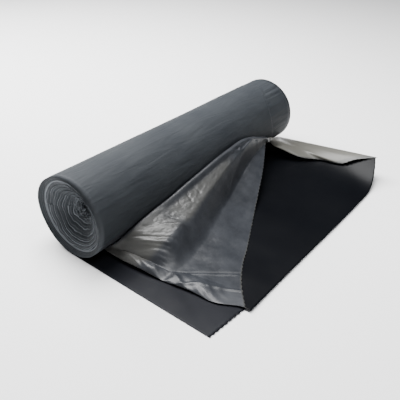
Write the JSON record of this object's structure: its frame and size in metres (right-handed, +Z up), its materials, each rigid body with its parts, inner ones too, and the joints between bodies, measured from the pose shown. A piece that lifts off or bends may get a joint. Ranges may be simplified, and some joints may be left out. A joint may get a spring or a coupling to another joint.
{
  "type": "garbage bag roll",
  "caption": "Coreless roll of large plastic refuse bags lying on its side, with the first bag drawn off flat and its mouth pulled open against the roll.",
  "frame": {"origin": "middle of the ground that the roll and the loose bag cover, on the surface they lie on", "axes": "+Y along the roll's axis from its dished end to its far end, +X from the roll towards the torn edge of the loose bag, +Z up"},
  "size_m": [0.2854, 0.45, 0.1101],
  "materials": {
    "wound_film": "dark grey polythene film, wound, satin",
    "lower_film": "dark grey polythene film, flat, satin",
    "inner_film": "inside of the bag, near black, satin",
    "upper_film": "single grey polythene film, creased, half gloss"
  },
  "bodies": {
    "root": {"wound_roll": "wound_film", "lower_film": "lower_film", "inner_film": "inner_film", "upper_film": "upper_film"}
  },
  "joints": []
}
